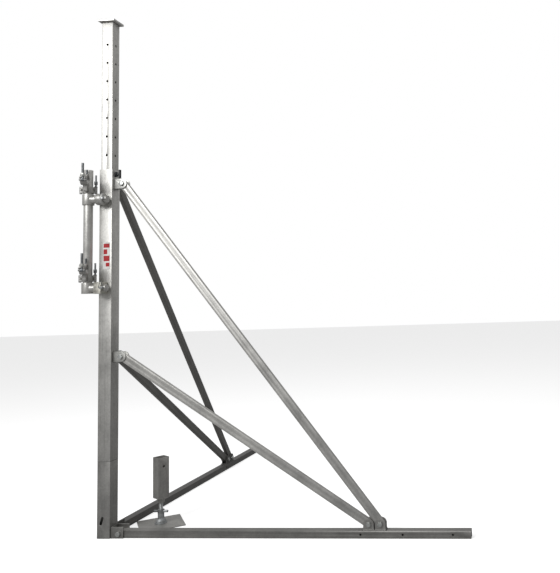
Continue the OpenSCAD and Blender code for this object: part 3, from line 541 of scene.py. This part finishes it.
for place in ("upper", "lower"):
    worked(f"{place}_coupler_body", EDGE_FORGED, forged_zinc)
    worked(f"{place}_collar_flap", EDGE_FORGED, forged_zinc)
    worked(f"{place}_cradle_cap", EDGE_FORGED, cap_zinc)
    worked(f"{place}_coupler_pins", EDGE_TURNED, dark_steel)
    worked(f"{place}_cap_stud", EDGE_TURNED, dark_steel)
    worked(f"{place}_swing_bolt", EDGE_TURNED, dark_steel)
    worked(f"{place}_drop_pin", EDGE_NUT, dark_steel)
    worked(f"{place}_stud_nut", EDGE_NUT, nut_zinc)
    worked(f"{place}_swing_nut", EDGE_NUT, nut_zinc)
    for bolt, nut, body in (("cap_stud", "stud_nut", f"{place}_coupler"),
                            ("swing_bolt", "swing_nut", f"{place}_swing_bolt_body")):
        low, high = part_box(f"{place}_{nut}")
        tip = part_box(f"{place}_{bolt}")[1][2]
        bore = STUD_R if bolt == "cap_stud" else SWING_R
        middle = ((low[0] + high[0]) / 2, (low[1] + high[1]) / 2)
        screw(f"{place}_{bolt}_thread", body, middle, high[2] + THREAD_START, tip - THREAD_END,
              bore - ROOT_SINK, bore + CREST_RISE, THREAD_PITCH, dark_steel, FINE_STARTS)

# --- Jack ---
# A loose screw jack for the foot of the mast: a plate, a cast hub, a coarse-threaded spindle with two handles,
# and a nut welded under a square stub that plugs into the mast.
PLATE_GREY = "#b9b8b4"
HUB_GREY = "#a3a6a7"
SPINDLE_BRIGHT = "#c8caca"
STUB_GREY = "#b2b1ad"
JACK_PITCH = 0.006
THREAD_DEPTH = 0.0022
EDGE_JACK = 0.001
EDGE_STUB = 0.003
worked("jack_base_plate", EDGE_JACK, galvanised_steel("galvanised_jack_plate", PLATE_GREY, PLATE_GREY, 0, 1))
worked("jack_hub", EDGE_JACK, worn_steel("cast_steel_hub", HUB_GREY, 0.5, 0.75, 0.004, 0.0005))
worked("jack_handles", EDGE_JACK, worn_steel("zinc_plated_handles", HUB_GREY, 0.4, 0.85))
worked("jack_nut", EDGE_JACK, galvanised_steel("galvanised_jack_nut", STUB_GREY, STUB_GREY, 0, 1))
worked("jack_stub", EDGE_STUB, galvanised_steel("galvanised_jack_stub", STUB_GREY, STUB_GREY, 0, 1))
low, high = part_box("jack_spindle")
spindle_r = (high[0] - low[0]) / 2
spindle_centre = ((low[0] + high[0]) / 2, (low[1] + high[1]) / 2)
spindle = screw("jack_spindle_thread", "jack_screw", spindle_centre, low[2], high[2],
                spindle_r - THREAD_DEPTH, spindle_r, JACK_PITCH,
                worn_steel("bright_turned_spindle", SPINDLE_BRIGHT, 0.3, 0.95, 0.002, 0.00005))
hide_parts("jack_spindle")

# --- Floor and light ---
# A plain pale floor that glows a little, one large soft light from the front left, and an even pale surround.
# Both are dimmer to the zinc than to the eye, so that the mast's turned-away faces stay dark.
FLOOR_HALF = 30.0
FLOOR_Z = -0.0005
FLOOR_SEEN = "#f7f7f7"
FLOOR_REFLECTED = "#9c9c9c"
FLOOR_GLOW = 0.5
SURROUND_REFLECTED = 0.36
SURROUND_SEEN = 1.0
floor_mesh = bpy.data.meshes.new("floor")
floor_mesh.from_pydata([(-FLOOR_HALF, -FLOOR_HALF, FLOOR_Z), (FLOOR_HALF, -FLOOR_HALF, FLOOR_Z),
                        (FLOOR_HALF, FLOOR_HALF, FLOOR_Z), (-FLOOR_HALF, FLOOR_HALF, FLOOR_Z)], [], [(0, 1, 2, 3)])
floor = bpy.data.objects.new("floor", floor_mesh)
bpy.context.scene.collection.objects.link(floor)
floor_paint = bpy.data.materials.new("pale_floor")
floor_paint.use_nodes = True
paint = floor_paint.node_tree
glowing = paint.nodes["Principled BSDF"]
glowing.inputs["Base Color"].default_value = linear(FLOOR_SEEN)
glowing.inputs["Roughness"].default_value = 0.9
glowing.inputs["Emission Color"].default_value = linear("#ffffff")
glowing.inputs["Emission Strength"].default_value = FLOOR_GLOW
shaded = add(paint, "BsdfDiffuse", {"Color": linear(FLOOR_REFLECTED)})
direct = add(paint, "LightPath").outputs["Is Camera Ray"]
either = add(paint, "MixShader", links={0: direct, 1: shaded.outputs[0], 2: glowing.outputs[0]})
paint.links.new(either.outputs[0], paint.nodes["Material Output"].inputs["Surface"])
floor_mesh.materials.append(floor_paint)


def soft_light(name, place, target, size, power):
    """A square area light at place, turned to look at target."""
    lamp = bpy.data.lights.new(name, "AREA")
    lamp.size = size
    lamp.energy = power
    holder = bpy.data.objects.new(name, lamp)
    holder.location = place
    holder.rotation_euler = (Vector(target) - Vector(place)).to_track_quat("-Z", "Y").to_euler()
    bpy.context.scene.collection.objects.link(holder)


soft_light("key_light", place=(-1.6, -4.4, 4.4), target=(0.1, 0.1, 1.9), size=2.4, power=190)
soft_light("top_light", place=(0.8, 0.6, 7.0), target=(0.6, 0.6, 0.0), size=5.0, power=110)
world = bpy.data.worlds.new("pale_surround")
world.use_nodes = True
sky = world.node_tree
sky.nodes["Background"].inputs["Color"].default_value = linear("#ffffff")
seen = add(sky, "LightPath").outputs["Is Camera Ray"]
level = add(sky, "MapRange", {"To Min": SURROUND_REFLECTED, "To Max": SURROUND_SEEN}, {"Value": seen})
sky.links.new(level.outputs["Result"], sky.nodes["Background"].inputs["Strength"])
bpy.context.scene.world = world
bpy.context.scene.view_settings.view_transform = "Standard"

# --- Camera ---
# It stands to the right of the front rail, 1.27 m up, and looks slightly up past the mast.
# The shift crops the frame so that the mast is at its left.
EYE = (2.399, -3.672, 1.269)
YAW = -0.0985
PITCH = 0.0778
ROLL = -0.0332
SENSOR = 24.0
LENS = 28.2
SHIFT_X = -0.312
SHIFT_Y = -0.0716
ahead = Vector((math.sin(YAW) * math.cos(PITCH), math.cos(YAW) * math.cos(PITCH), math.sin(PITCH)))
right = Vector((math.cos(YAW), -math.sin(YAW), 0))
above = right.cross(ahead)
right_rolled = math.cos(ROLL) * right + math.sin(ROLL) * above
above_rolled = math.cos(ROLL) * above - math.sin(ROLL) * right
camera_data = bpy.data.cameras.new("camera")
camera_data.sensor_fit = "VERTICAL"
camera_data.sensor_height = SENSOR
camera_data.lens = LENS
camera_data.shift_x = SHIFT_X
camera_data.shift_y = SHIFT_Y
camera = bpy.data.objects.new("camera", camera_data)
columns = (right_rolled, above_rolled, -ahead)
camera.matrix_world = Matrix([(*column, 0) for column in columns] + [(*EYE, 1)]).transposed()
bpy.context.scene.collection.objects.link(camera)
bpy.context.scene.camera = camera
